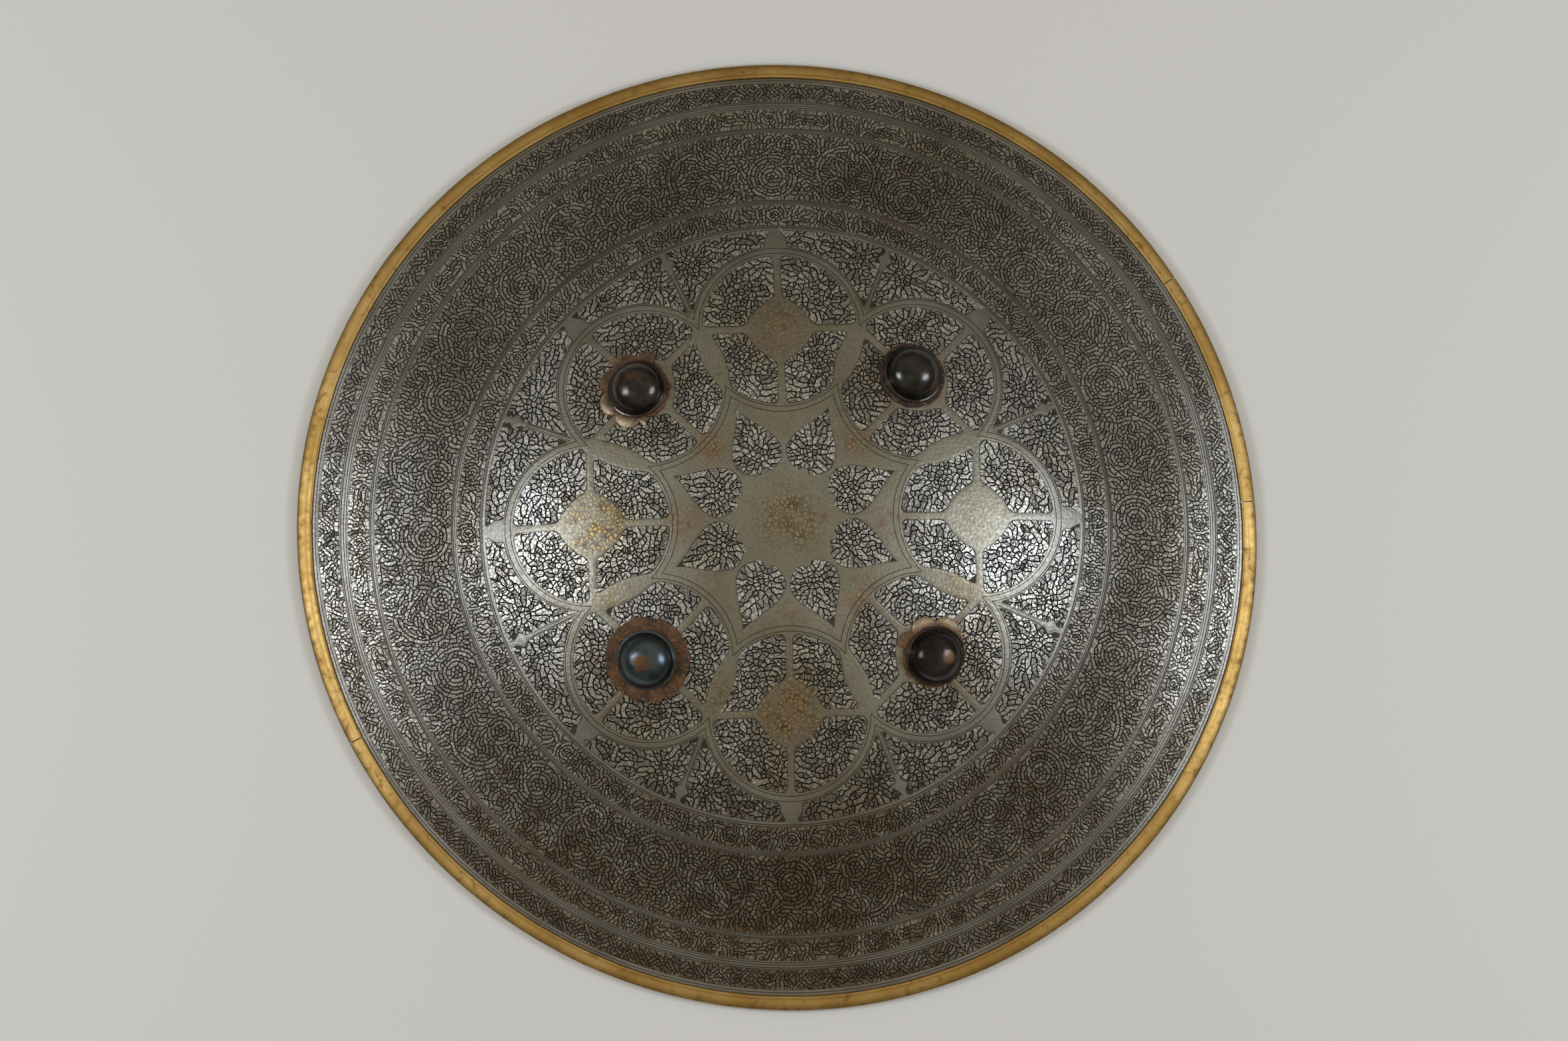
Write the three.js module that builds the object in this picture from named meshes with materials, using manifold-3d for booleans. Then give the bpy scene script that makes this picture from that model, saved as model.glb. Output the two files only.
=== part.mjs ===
// An Indo-Persian round shield (dhal) lying face up on its rim: a raised steel bowl, a brass
// binding folded over its edge in three lengths, and four domed bosses riveted through petalled
// washers. Millimetres, +Z up, the bowl's axis on Z, z = 0 at the underside of the binding.
import * as THREE from 'three';
import { mergeVertices } from 'three/addons/utils/BufferGeometryUtils.js';
import Module from 'manifold-3d';

// The whole shield
const RIM_RADIUS = 185; // outside of the binding, its mean
const OVAL = 1.64; // how far the hand-raised rim is out of round, as an oval
const OVAL_TURN = -26; // degrees, where the oval is longest
const THREE_SIDED = -0.62; // and as a rounded triangle
const FACETS = 60; // facets round the bowl and the binding
const GAP = 0.3; // between touching pieces

// The steel bowl: a ball-shaped crown that turns into a hollow flare
const STEEL = 1.4;
const STEEL_EDGE = RIM_RADIUS - 1.1;
const CROWN_RADIUS = 235; // radius of the ball
const CROWN_REACH = 135; // where the crown turns into the flare
const FLARE_RADIUS = 200; // radius of the hollow curve outside it
const CROWN_RINGS = 8;
const FLARE_RINGS = 4;

// The brass binding: a strip folded over the edge
const BRASS = 0.9;
const TOP_LIP = 4.9;
const UNDER_LIP = 4.2;
const LIP_EDGE = 0.55; // height of the lip's square edge under its bevel
const NOSE_STEPS = 6;
const WORN_FLAT = 0.25; // how much of the nose is worn flat where the shield stands
const JOINTS = { repair: 4.2, upper: 33.3, lower: 206.2 }; // degrees, where each length starts
const JOINT_GAP = 0.45;

// The pins through the binding and the steel
const PIN_ANGLES = [7.6, 30.2, 36.6, 66.3, 120.8, 148.4, 233.1, 286.8, 337.6, 1.7];
const PIN_REACH = 182.2;
const PIN_RADIUS = 0.6;
const PIN_SIDES = 6;
const PIN_SUNK = 0.15; // its ends lie this far inside the brass

// The bosses, with what each stands on
const BOSSES = [
  { name: 'northwest', angle: 138.4, reach: 74.8, washer: 'petals', petalAt: 251, lost: [-75, 62] },
  { name: 'northeast', angle: 49.0, reach: 73.8, washer: 'disc', radius: 13.2 },
  { name: 'southwest', angle: 225.5, reach: 74.5, washer: 'disc', radius: 16.6 },
  { name: 'southeast', angle: 317.9, reach: 76.4, washer: 'petals', petalAt: 67.5, lost: [165, 395] },
];
const BOSS_RADIUS = 10.6;
const BOSS_HEIGHT = 9.2;
const BOSS_LIP = 0.9; // the thin flange round its foot
const BOSS_STEPS = 5;
const BOSS_SIDES = 16;
const SHANK_RADIUS = 2.5;
const SHANK_SIDES = 12;
const WASHER = 0.8;
const PETALS = 8;
const PETAL_TIP = 15.6;
const PETAL_NOTCH = 12.7;
const PETAL_STEPS = 6; // points on one petal
const ARC_STEPS = 10; // points on half a round outline
const BROKEN_EDGE = 12.0; // where a broken washer ends, just outside the boss
const ROVE_RADIUS = 6.5;
const ROVE = 1.2;
const ROVE_SIDES = 16;
const ROVE_GAP = 0.7; // the rove is flat and the bowl is hollow there
const PEEN_RADIUS = 3.8;
const PEEN = 1.5;

const wasm = await Module();
wasm.setup();

const steel = new THREE.MeshStandardMaterial({ color: 0x4e4a43, roughness: 0.5, metalness: 1 });
const bossSteel = new THREE.MeshStandardMaterial({ color: 0x3b3736, roughness: 0.25, metalness: 1 });
const rustedIron = new THREE.MeshStandardMaterial({ color: 0x5f4a38, roughness: 0.75, metalness: 0.6 });
const brass = new THREE.MeshStandardMaterial({ color: 0xc9a24e, roughness: 0.35, metalness: 1 });

// How far the bowl's outside lies below its top at a distance from the axis.
function drop(reach) {
  if (reach <= CROWN_REACH) {
    return CROWN_RADIUS - Math.sqrt(CROWN_RADIUS ** 2 - reach ** 2);
  }
  const turn = Math.cos(Math.asin(CROWN_REACH / CROWN_RADIUS));
  return drop(CROWN_REACH) + FLARE_RADIUS * (Math.cos(slope(reach)) - turn);
}

// The slope of the bowl's outside there, in radians.
function slope(reach) {
  const flare = Math.max(reach - CROWN_REACH, 0) / FLARE_RADIUS;
  return Math.asin(Math.min(reach, CROWN_REACH) / CROWN_RADIUS - flare);
}

// The shield isn't quite round: a factor on every radius, which is 1 near the middle.
function roundness(angle, reach) {
  const oval = OVAL * Math.cos(2 * (angle - THREE.MathUtils.degToRad(OVAL_TURN)));
  const triangle = THREE_SIDED * Math.cos(3 * angle);
  return 1 + ((oval + triangle) / RIM_RADIUS) * (reach / RIM_RADIUS) ** 4;
}

function outOfRound(geometry) {
  const place = geometry.attributes.position;
  for (let i = 0; i < place.count; i += 1) {
    const x = place.getX(i);
    const y = place.getY(i);
    const factor = roundness(Math.atan2(y, x), Math.hypot(x, y));
    place.setXY(i, x * factor, y * factor);
  }
  return geometry;
}

// Solids for joining and cutting, and back
function solidOf(geometry) {
  const bare = geometry.clone();
  bare.deleteAttribute('normal');
  bare.deleteAttribute('uv');
  const merged = mergeVertices(bare, 1e-4);
  return new wasm.Manifold(new wasm.Mesh({
    numProp: 3,
    vertProperties: new Float32Array(merged.attributes.position.array),
    triVerts: new Uint32Array(merged.index.array),
  }));
}

function geometryOf(solid) {
  const mesh = solid.getMesh();
  const geometry = new THREE.BufferGeometry();
  geometry.setAttribute('position', new THREE.BufferAttribute(mesh.vertProperties, mesh.numProp));
  geometry.setIndex(new THREE.BufferAttribute(mesh.triVerts, 1));
  return geometry;
}

// A section of [radius, height] points turned round the Z axis, as a closed ring or on the axis.
function turned(section, sides) {
  const points = section.map(([radius, height]) => new THREE.Vector2(radius, height));
  return new THREE.LatheGeometry(points, sides).rotateX(Math.PI / 2);
}

// A place on the bowl's outside, with Z along the steel's own normal.
function seat(angle, reach) {
  const group = new THREE.Group();
  const turn = THREE.MathUtils.degToRad(angle);
  const out = reach * roundness(turn, reach);
  group.position.set(out * Math.cos(turn), out * Math.sin(turn), crownHeight - drop(reach));
  group.rotation.set(0, slope(reach), turn, 'ZYX');
  group.updateMatrix();
  return group;
}

// The edge of the steel: its slope there sets the binding's tilt and the crown's height.
const lastRing = STEEL_EDGE - (STEEL_EDGE - CROWN_REACH) / FLARE_RINGS;
const edgeTilt = Math.atan2(drop(STEEL_EDGE) - drop(lastRing), STEEL_EDGE - lastRing);
const noseDepth = STEEL / 2 + GAP + BRASS;
const noseReach = GAP + BRASS;
const edgeHeight = (STEEL / 2) * Math.cos(edgeTilt) - WORN_FLAT
  + Math.hypot(noseReach * Math.sin(edgeTilt), noseDepth * Math.cos(edgeTilt));
const crownHeight = edgeHeight + drop(STEEL_EDGE);

function bowlSolid() {
  const rings = [];
  for (let i = 0; i <= CROWN_RINGS; i += 1) {
    rings.push((CROWN_REACH * i) / CROWN_RINGS);
  }
  for (let i = 1; i <= FLARE_RINGS; i += 1) {
    rings.push(CROWN_REACH + ((STEEL_EDGE - CROWN_REACH) * i) / FLARE_RINGS);
  }
  const outside = rings.map((reach) => [reach, crownHeight - drop(reach)]);
  const inside = rings.map((reach) => [
    reach - STEEL * Math.sin(slope(reach)),
    crownHeight - drop(reach) - STEEL * Math.cos(slope(reach)),
  ]);
  // From the inside of the crown out to the edge, and back over the outside to the top.
  const section = [...inside, ...outside.reverse()];
  let solid = solidOf(outOfRound(turned(section, FACETS)));
  for (const boss of BOSSES) {
    const drill = new THREE.CylinderGeometry(SHANK_RADIUS + GAP, SHANK_RADIUS + GAP, 12, SHANK_SIDES);
    drill.rotateX(Math.PI / 2);
    drill.applyMatrix4(seat(boss.angle, boss.reach).matrix);
    solid = solid.subtract(solidOf(drill));
  }
  return drillPinHoles(solid);
}

function pinShape(radius, length) {
  const middle = -STEEL / 2;
  const shape = new THREE.CylinderGeometry(radius, radius, length, PIN_SIDES);
  return shape.rotateX(Math.PI / 2).translate(0, 0, middle);
}

function drillPinHoles(solid) {
  let drilled = solid;
  for (const angle of PIN_ANGLES) {
    const drill = pinShape(PIN_RADIUS + GAP, 12);
    drill.applyMatrix4(seat(angle, PIN_REACH).matrix);
    drilled = drilled.subtract(solidOf(drill));
  }
  return drilled;
}

// The binding's section, in [along the steel, out of the steel] from the steel's outer corner.
function bindingSection() {
  const local = [
    [GAP, GAP],
    [GAP, -STEEL - GAP],
    [-UNDER_LIP, -STEEL - GAP],
    [-UNDER_LIP, -STEEL - GAP - BRASS],
  ];
  for (let i = 0; i <= NOSE_STEPS; i += 1) {
    const turn = -Math.PI / 2 + (Math.PI * i) / NOSE_STEPS;
    local.push([noseReach * Math.cos(turn), -STEEL / 2 + noseDepth * Math.sin(turn)]);
  }
  local.push([-TOP_LIP + BRASS / 2, GAP + BRASS], [-TOP_LIP, GAP + LIP_EDGE], [-TOP_LIP, GAP]);
  const placed = local.map(([along, out]) => [
    STEEL_EDGE + along * Math.cos(edgeTilt) + out * Math.sin(edgeTilt),
    edgeHeight - along * Math.sin(edgeTilt) + out * Math.cos(edgeTilt),
  ]);
  const worn = wornFlat(placed);
  return [...worn, worn[0]];
}

// The section with what lies under z = 0 worn away.
function wornFlat(section) {
  const kept = [];
  section.forEach(([radius, height], i) => {
    const [lastRadius, lastHeight] = section.at(i - 1);
    if (height < 0 !== lastHeight < 0) {
      const share = lastHeight / (lastHeight - height);
      kept.push([lastRadius + (radius - lastRadius) * share, 0]);
    }
    if (height >= 0) {
      kept.push([radius, height]);
    }
  });
  return kept;
}

// A wedge of the space round the Z axis, which keeps one length of the binding.
function wedge(from, to) {
  const far = RIM_RADIUS * 1.4;
  const shrink = THREE.MathUtils.radToDeg(JOINT_GAP / 2 / RIM_RADIUS);
  const steps = Math.ceil((to - from) / 10);
  const shape = new THREE.Shape();
  shape.moveTo(0, 0);
  for (let i = 0; i <= steps; i += 1) {
    const turn = THREE.MathUtils.degToRad(from + shrink + ((to - from - 2 * shrink) * i) / steps);
    shape.lineTo(far * Math.cos(turn), far * Math.sin(turn));
  }
  return new THREE.ExtrudeGeometry(shape, { depth: 20, bevelEnabled: false }).translate(0, 0, -5);
}

function bindingSolids() {
  const ring = drillPinHoles(solidOf(outOfRound(turned(bindingSection(), FACETS))));
  const lengths = {
    rim_binding_repair_piece: [JOINTS.repair, JOINTS.upper],
    rim_binding_upper: [JOINTS.upper, JOINTS.lower],
    rim_binding_lower: [JOINTS.lower, JOINTS.repair + 360],
  };
  return Object.entries(lengths).map(([name, [from, to]]) => [
    name,
    ring.intersect(solidOf(wedge(from, to))),
  ]);
}

// A boss in one piece: dome, foot flange, shank and the peened end behind the rove.
function bossGeometry() {
  const foot = GAP + WASHER + GAP;
  const roveBack = -STEEL - ROVE_GAP - ROVE;
  const peenTop = roveBack - GAP;
  const section = [
    [0, peenTop - PEEN],
    [PEEN_RADIUS * 0.7, peenTop - PEEN],
    [PEEN_RADIUS, peenTop - PEEN * 0.4],
    [PEEN_RADIUS, peenTop],
    [SHANK_RADIUS, peenTop],
    [SHANK_RADIUS, foot],
    [BOSS_RADIUS + BOSS_LIP, foot],
    [BOSS_RADIUS + BOSS_LIP, foot + BOSS_LIP / 2],
  ];
  for (let i = 0; i <= BOSS_STEPS; i += 1) {
    const turn = (Math.PI / 2) * (i / BOSS_STEPS);
    const rise = (BOSS_HEIGHT - BOSS_LIP / 2) * Math.sin(turn);
    section.push([i === BOSS_STEPS ? 0 : BOSS_RADIUS * Math.cos(turn), foot + BOSS_LIP / 2 + rise]);
  }
  return turned(section, BOSS_SIDES);
}

// A washer's outline: scalloped petals, cut back to a ragged edge where they have broken away.
function petalOutline(boss) {
  const outline = new THREE.Shape();
  const count = PETALS * PETAL_STEPS;
  const first = boss.petalAt - boss.angle;
  for (let i = 0; i < count; i += 1) {
    const turn = (360 * i) / count;
    const world = turn + boss.angle;
    const bow = Math.abs(Math.cos(THREE.MathUtils.degToRad(((turn - first) * PETALS) / 2)));
    let radius = PETAL_NOTCH + (PETAL_TIP - PETAL_NOTCH) * bow ** 0.6;
    const past = THREE.MathUtils.euclideanModulo(world - boss.lost[0], 360);
    if (past < boss.lost[1] - boss.lost[0]) {
      radius = BROKEN_EDGE + (i % 3) * 0.45;
    }
    const at = THREE.MathUtils.degToRad(turn);
    const place = [radius * Math.cos(at), radius * Math.sin(at)];
    if (i === 0) {
      outline.moveTo(...place);
    } else {
      outline.lineTo(...place);
    }
  }
  outline.closePath();
  return outline;
}

function washerGeometry(boss) {
  const hole = new THREE.Path().absarc(0, 0, SHANK_RADIUS + GAP, 0, Math.PI * 2, true);
  let outline = new THREE.Shape();
  if (boss.washer === 'petals') {
    outline = petalOutline(boss);
  } else {
    outline.absarc(0, 0, boss.radius, 0, Math.PI * 2, false);
  }
  outline.holes.push(hole);
  const options = { depth: WASHER, bevelEnabled: false, curveSegments: ARC_STEPS };
  return new THREE.ExtrudeGeometry(outline, options).translate(0, 0, GAP);
}

function roveGeometry() {
  const top = -STEEL - ROVE_GAP;
  const hole = SHANK_RADIUS + GAP;
  const section = [[hole, top - ROVE], [ROVE_RADIUS, top - ROVE], [ROVE_RADIUS, top], [hole, top]];
  return turned([...section, section[0]], ROVE_SIDES);
}

function named(name, geometry, material) {
  const mesh = new THREE.Mesh(geometry, material);
  mesh.name = name;
  return mesh;
}

const shield = new THREE.Group();
shield.add(named('bowl', geometryOf(bowlSolid()), steel));
for (const [name, solid] of bindingSolids()) {
  shield.add(named(name, geometryOf(solid), brass));
}
for (const boss of BOSSES) {
  const group = seat(boss.angle, boss.reach);
  group.add(named(`boss_${boss.name}`, bossGeometry(), bossSteel));
  group.add(named(`washer_${boss.name}`, washerGeometry(boss), rustedIron));
  group.add(named(`rove_${boss.name}`, roveGeometry(), rustedIron));
  shield.add(group);
}
PIN_ANGLES.forEach((angle, i) => {
  const group = seat(angle, PIN_REACH);
  const length = 2 * (noseDepth - PIN_SUNK);
  group.add(named(`rim_pin_${i + 1}`, pinShape(PIN_RADIUS, length), rustedIron));
  shield.add(group);
});

export default shield;
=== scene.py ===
# %% [markdown]
# # A chased steel shield, lying on its rim
# The object is an Indo-Persian round shield, a dhal: a bowl raised from one steel disc, chased and
# engraved all over, with a brass strip folded over its edge and four domed bosses riveted through
# washers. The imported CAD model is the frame: every piece made here goes where the frame says.

import random
from math import atan2, cos, degrees, hypot, pi, radians, sin, sqrt

import bmesh
import bpy
import mathutils.geometry
import numpy as np
from mathutils import Matrix, Vector


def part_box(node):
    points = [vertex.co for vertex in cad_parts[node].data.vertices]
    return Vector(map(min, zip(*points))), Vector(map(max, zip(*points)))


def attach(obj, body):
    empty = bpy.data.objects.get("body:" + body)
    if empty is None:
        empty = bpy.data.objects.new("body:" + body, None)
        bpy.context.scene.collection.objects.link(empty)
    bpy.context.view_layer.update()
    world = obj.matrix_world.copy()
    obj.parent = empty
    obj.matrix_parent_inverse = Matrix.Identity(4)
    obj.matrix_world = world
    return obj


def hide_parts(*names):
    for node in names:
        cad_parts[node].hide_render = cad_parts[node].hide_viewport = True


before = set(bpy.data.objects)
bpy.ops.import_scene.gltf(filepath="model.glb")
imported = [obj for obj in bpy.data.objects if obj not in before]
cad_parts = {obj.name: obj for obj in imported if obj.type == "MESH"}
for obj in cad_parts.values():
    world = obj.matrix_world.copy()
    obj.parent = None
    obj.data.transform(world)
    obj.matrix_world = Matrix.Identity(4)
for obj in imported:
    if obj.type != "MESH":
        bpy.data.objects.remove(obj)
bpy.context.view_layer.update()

# %% [markdown]
# ## The camera, the lights and the floor
# A shield like this is photographed from nearly straight above, from well back with a long lens, so
# that the near and the far rim look the same size. Two soft boxes stand low at the left and right.
# Polished work mirrors them, which is why the highlights sit left and right on the crown and again
# on the flare, where the slope is the same. A dim world fills the rest.

# %% Camera
MM = 0.001
scene = bpy.context.scene


def put(name, data):
    """Puts an object in the scene."""
    made = bpy.data.objects.new(name, data)
    scene.collection.objects.link(made)
    return made


CAMERA_AWAY = 2.8
CAMERA_LEAN = Vector((-0.037, -0.098, 1.0))  # nearly straight down, a little from the near side
AIM = Vector((1.8 * MM, 5.7 * MM, 0.0))
FRAME_WIDTH = 0.608  # metres of floor across the view
SENSOR = 36.0

camera = put("camera", bpy.data.cameras.new("camera"))
back = CAMERA_LEAN.normalized()
right = Vector((0, 1, 0)).cross(back).normalized()
up = back.cross(right)
turned = Matrix((right, up, back)).transposed().to_4x4()
camera.matrix_world = Matrix.Translation(AIM + back * CAMERA_AWAY) @ turned
camera.data.sensor_width = SENSOR
camera.data.lens = SENSOR * CAMERA_AWAY / FRAME_WIDTH
camera.data.clip_start = 0.1
camera.data.clip_end = 30
scene.camera = camera
scene.view_settings.view_transform = "Standard"
print("lens", round(camera.data.lens, 1), "mm")


# %% One function for colours, one for nodes
def linear(hex_colour):
    """An sRGB colour such as C9A24E as linear red, green, blue and alpha."""
    parts = [int(hex_colour[i : i + 2], 16) / 255 for i in (0, 2, 4)]
    curve = [c / 12.92 if c <= 0.04045 else ((c + 0.055) / 1.055) ** 2.4 for c in parts]
    return (*curve, 1.0)


def feed(target, value):
    """Gives an input what it reads: a socket, a number, or a colour as hex."""
    if isinstance(value, bpy.types.NodeSocket):
        target.id_data.links.new(value, target)
    else:
        target.default_value = linear(value) if isinstance(value, str) else value


def node(source, kind, settings=None, **links):
    """Adds a node to the tree of the source. Settings are attributes or inputs, links are inputs."""
    made = source.id_data.nodes.new("ShaderNode" + kind)
    for name, value in (settings or {}).items():
        if isinstance(name, str) and hasattr(made, name):
            setattr(made, name, value)
        else:
            feed(made.inputs[name], value)
    for name, value in links.items():
        feed(made.inputs[name.replace("_", " ")], value)
    return made


# %% World, lights and floor
world = bpy.data.worlds.new("studio")
scene.world = world
world.use_nodes = True
sky = world.node_tree
background = sky.nodes["Background"]
place = node(sky, "TexCoord")
split = node(sky, "SeparateXYZ", Vector=place.outputs["Generated"])
height = node(sky, "MapRange", {"From Min": 0.15, "From Max": 0.95}, Value=split.outputs["Z"])
dome = node(sky, "Mix", {"data_type": "RGBA", 6: "6E6A62", 7: "B9B2A2"}, Factor=height.outputs["Result"])
feed(background.inputs["Color"], dome.outputs[2])
background.inputs["Strength"].default_value = 1.2

BOX_ANGLE = radians(49)  # off the vertical
BOX_AWAY = 1.25
BOX_SIZE = 0.4
for side, watts in ((-1, 5.6), (1, 5.2)):
    lamp = bpy.data.lights.new(f"soft_box_{side}", "AREA")
    lamp.shape = "SQUARE"
    lamp.size = BOX_SIZE
    lamp.energy = watts
    lamp.color = linear("E0EAFA")[:3]
    box = put(lamp.name, lamp)
    at = Vector((side * sin(BOX_ANGLE), -0.03, cos(BOX_ANGLE))) * BOX_AWAY
    box.matrix_world = Matrix.Translation(at) @ at.to_track_quat("Z", "Y").to_matrix().to_4x4()

paper = bpy.data.materials.new("pale_studio_paper")
paper.use_nodes = True
paper_shader = paper.node_tree.nodes["Principled BSDF"]
paper_shader.inputs["Base Color"].default_value = linear("DAD8D3")
paper_shader.inputs["Roughness"].default_value = 0.9
FLOOR_HALF = 4.0
sheet = bmesh.new()
bmesh.ops.create_grid(sheet, x_segments=1, y_segments=1, size=FLOOR_HALF)
floor_mesh = bpy.data.meshes.new("floor")
sheet.to_mesh(floor_mesh)
sheet.free()
floor_mesh.materials.append(paper)
floor = put("floor", floor_mesh)
print("floor", floor.dimensions[:2])

# %% [markdown]
# ## The shape of the steel
# The smith raised the bowl from a flat disc. The script does the same: ornament is laid out flat,
# where circles are circles, and one function then raises every point onto the bowl. The crown is
# part of a ball, the flare outside it is hollow, and the rim is a little out of round.

# %% From the flat disc to the raised bowl
CROWN_RADIUS, CROWN_REACH, FLARE_RADIUS = 235.0, 135.0, 200.0
RIM_RADIUS, STEEL = 185.0, 1.4
STEEL_EDGE = RIM_RADIUS - 1.1
OVAL, OVAL_TURN, THREE_SIDED = 1.64, radians(-26), -0.62
CROWN_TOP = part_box("bowl")[1].z / MM


def slope(reach):
    """The slope of the steel's outside, in radians, at a distance from the axis in mm."""
    ball = np.minimum(reach, CROWN_REACH) / CROWN_RADIUS
    return np.arcsin(ball - np.maximum(reach - CROWN_REACH, 0) / FLARE_RADIUS)


def drop(reach):
    """How far the steel's outside lies below its top there."""
    ball = CROWN_RADIUS - np.sqrt(CROWN_RADIUS**2 - np.minimum(reach, CROWN_REACH) ** 2)
    flare = FLARE_RADIUS * (np.cos(slope(reach)) - np.cos(slope(CROWN_REACH)))
    return ball + np.where(reach > CROWN_REACH, flare, 0.0)


def roundness(angle, reach):
    wave = OVAL * np.cos(2 * (angle - OVAL_TURN)) + THREE_SIDED * np.cos(3 * angle)
    return 1 + wave / RIM_RADIUS * (reach / RIM_RADIUS) ** 4


def raised(flat):
    """Points on the flat disc, with z their height on the steel, in mm, to the bowl in metres."""
    reach = np.hypot(flat[:, 0], flat[:, 1])
    angle = np.arctan2(flat[:, 1], flat[:, 0])
    lean = slope(reach)
    out = reach * roundness(angle, reach) + flat[:, 2] * np.sin(lean)
    top = CROWN_TOP - drop(reach) + flat[:, 2] * np.cos(lean)
    return np.stack([out * np.cos(angle), out * np.sin(angle), top], 1) * MM


def on_bowl(angle, reach, height=0.0):
    """The place of one point of the disc on the bowl."""
    return raised(np.array([[reach * cos(angle), reach * sin(angle), height]]))[0]


print("steel edge", on_bowl(0.0, STEEL_EDGE).round(4), "crown top", round(CROWN_TOP, 2), "mm")


# %% Helpers that finish a piece
def coordinates(mesh):
    flat = np.empty(len(mesh.vertices) * 3, np.float32)
    mesh.vertices.foreach_get("co", flat)
    return flat.reshape(-1, 3).astype(float)


def set_coordinates(mesh, points):
    mesh.vertices.foreach_set("co", np.asarray(points, np.float32).ravel())
    mesh.update()


def corners_of(mesh):
    """The point at each corner of each face."""
    corner = np.empty(len(mesh.loops), np.int32)
    mesh.loops.foreach_get("vertex_index", corner)
    return corner


def top_down_map(mesh, half=0.19):
    """A map for the baked picture, as seen from straight above, so relief keeps its place."""
    uv = coordinates(mesh)[corners_of(mesh)][:, :2] / (2 * half) + 0.5
    mesh.uv_layers.new(name="OFBake").data.foreach_set("uv", uv.astype(np.float32).ravel())


def store(mesh, name, values):
    """Keeps a number on every point, for a finish to read."""
    mesh.attributes.new(name, "FLOAT", "POINT").data.foreach_set("value", np.asarray(values, np.float32))


def spun(section, steps, start=0.0, sweep=2 * pi, closed=False):
    """A bmesh spun round the upright axis from [radius, height] points."""
    bm = bmesh.new()
    points = [bm.verts.new((r * cos(start), r * sin(start), z)) for r, z in section]
    lines = [bm.edges.new(pair) for pair in zip(points, points[1:] + points[:closed])]
    whole = sweep == 2 * pi
    bmesh.ops.spin(bm, geom=points + lines, axis=(0, 0, 1), cent=(0, 0, 0), angle=sweep, steps=steps,
                   use_merge=whole)
    if whole:
        bmesh.ops.remove_doubles(bm, verts=bm.verts, dist=1e-4)
    return bm


def mesh_of(bm, name, outwards=True):
    """Turns the faces outwards, and makes the mesh."""
    if outwards:
        bmesh.ops.recalc_face_normals(bm, faces=bm.faces)
    mesh = bpy.data.meshes.new(name)
    bm.to_mesh(mesh)
    bm.free()
    return mesh


def piece(name, mesh, finish, replaces=(), sharp=None):
    """Makes the object from a mesh whose points are in metres, in place."""
    mesh.name = name
    mesh.materials.clear()
    mesh.materials.append(finish)
    if sharp is not None:
        mesh.shade_smooth()
        mesh.set_sharp_from_angle(angle=radians(sharp))
    made = put(name, mesh)
    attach(made, "root")
    if replaces:
        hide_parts(*replaces)
    mesh.calc_loop_triangles()
    print(f"{name}: {len(mesh.loop_triangles)} triangles")
    return made


# %% [markdown]
# ## The layout of the ornament
# The engraver divided the crown by eight. Eight roundels overlap round the middle, four of them
# under the bosses, and between them and the centre stand eight palmette panels on a plain star.
# Outside the crown run four bands between plain rings. A signed distance says how far a point is
# inside or outside the cut-away ground: it is negative where the ground is cut back.

# %% Sizes of the layout, in millimetres
TURN = radians(1.6)  # the whole layout was struck a little off square
ROUNDEL_REACH, ROUNDEL, BORDER = 73.5, 32.6, 2.4
LOBE_GAP, LOBE_IN, LOBE_OUT = 1.25, 11.4, ROUNDEL - BORDER - 0.4
PANEL_FOOT, PANEL_WIDEST, PANEL_TIP, PANEL_HALF = 18.6, 26.0, 46.5, 9.6
SPANDREL_OUT = 113.8
BANDS = ((115.6, 124.7), (126.5, 155.9), (157.7, 166.1), (169.2, 177.2))


def polar(reach, angle):
    return reach * cos(angle), reach * sin(angle)


def both(a, b, corner=2.0):
    """Inside both of two shapes, with the corner between them rounded."""
    return np.minimum(np.maximum(a, b), -corner) + np.hypot(
        np.maximum(a + corner, 0), np.maximum(b + corner, 0))


def eighths(offset=0.0):
    return [TURN + radians(45 * k + offset) for k in range(8)]


def rays(x, y, offset=0.0):
    """For each of eight rays, its angle, and how far the points lie along and across it."""
    for angle in eighths(offset):
        yield angle, x * cos(angle) + y * sin(angle), y * cos(angle) - x * sin(angle)


def roundel_distance(x, y, angle):
    cx, cy = polar(ROUNDEL_REACH, angle)
    return np.hypot(x - cx, y - cy)


def lobes(x, y):
    """Four kidney-shaped panels in each roundel, cut back where the next roundel crosses."""
    found = np.full(np.shape(x), 1e3)
    for angle, along, across in rays(x, y):
        along = along - ROUNDEL_REACH
        middle = np.hypot(along, across)
        shape = both(LOBE_GAP - np.abs(along), LOBE_GAP - np.abs(across), 3.2)
        folds = np.cos(2 * np.arctan2(across, along)) ** 2  # the plain middle is a quatrefoil
        shape = both(shape, both(middle - LOBE_OUT, LOBE_IN + 1.0 * folds - middle, 4.0), 2.2)
        for side in (-1, 1):
            away = roundel_distance(x, y, angle + side * pi / 4)
            shape = both(shape, ROUNDEL - 0.4 - away)
        found = np.minimum(found, shape)
    return found


def palmettes(x, y):
    """Heart-shaped panels with an ogee point, standing between the roundels."""
    found = np.full(np.shape(x), 1e3)
    for _, along, across in rays(x, y, 22.5):
        across = np.abs(across)
        heel = np.clip((PANEL_WIDEST - along) / (PANEL_WIDEST - PANEL_FOOT), 0, 1)
        point = np.clip((along - PANEL_WIDEST) / (PANEL_TIP - PANEL_WIDEST), 0, 1)
        half = PANEL_HALF * np.sqrt(1 - heel**2) * (1 - point) ** 1.7 * (1 + 1.7 * point)
        shape = np.maximum((across - half) * 0.8, np.maximum(along - PANEL_TIP, PANEL_FOOT - along))
        cleft = 2.6 - np.hypot(along - PANEL_FOOT + 0.8, across * 1.3)
        found = np.minimum(found, np.maximum(shape, cleft))
    return found


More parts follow.
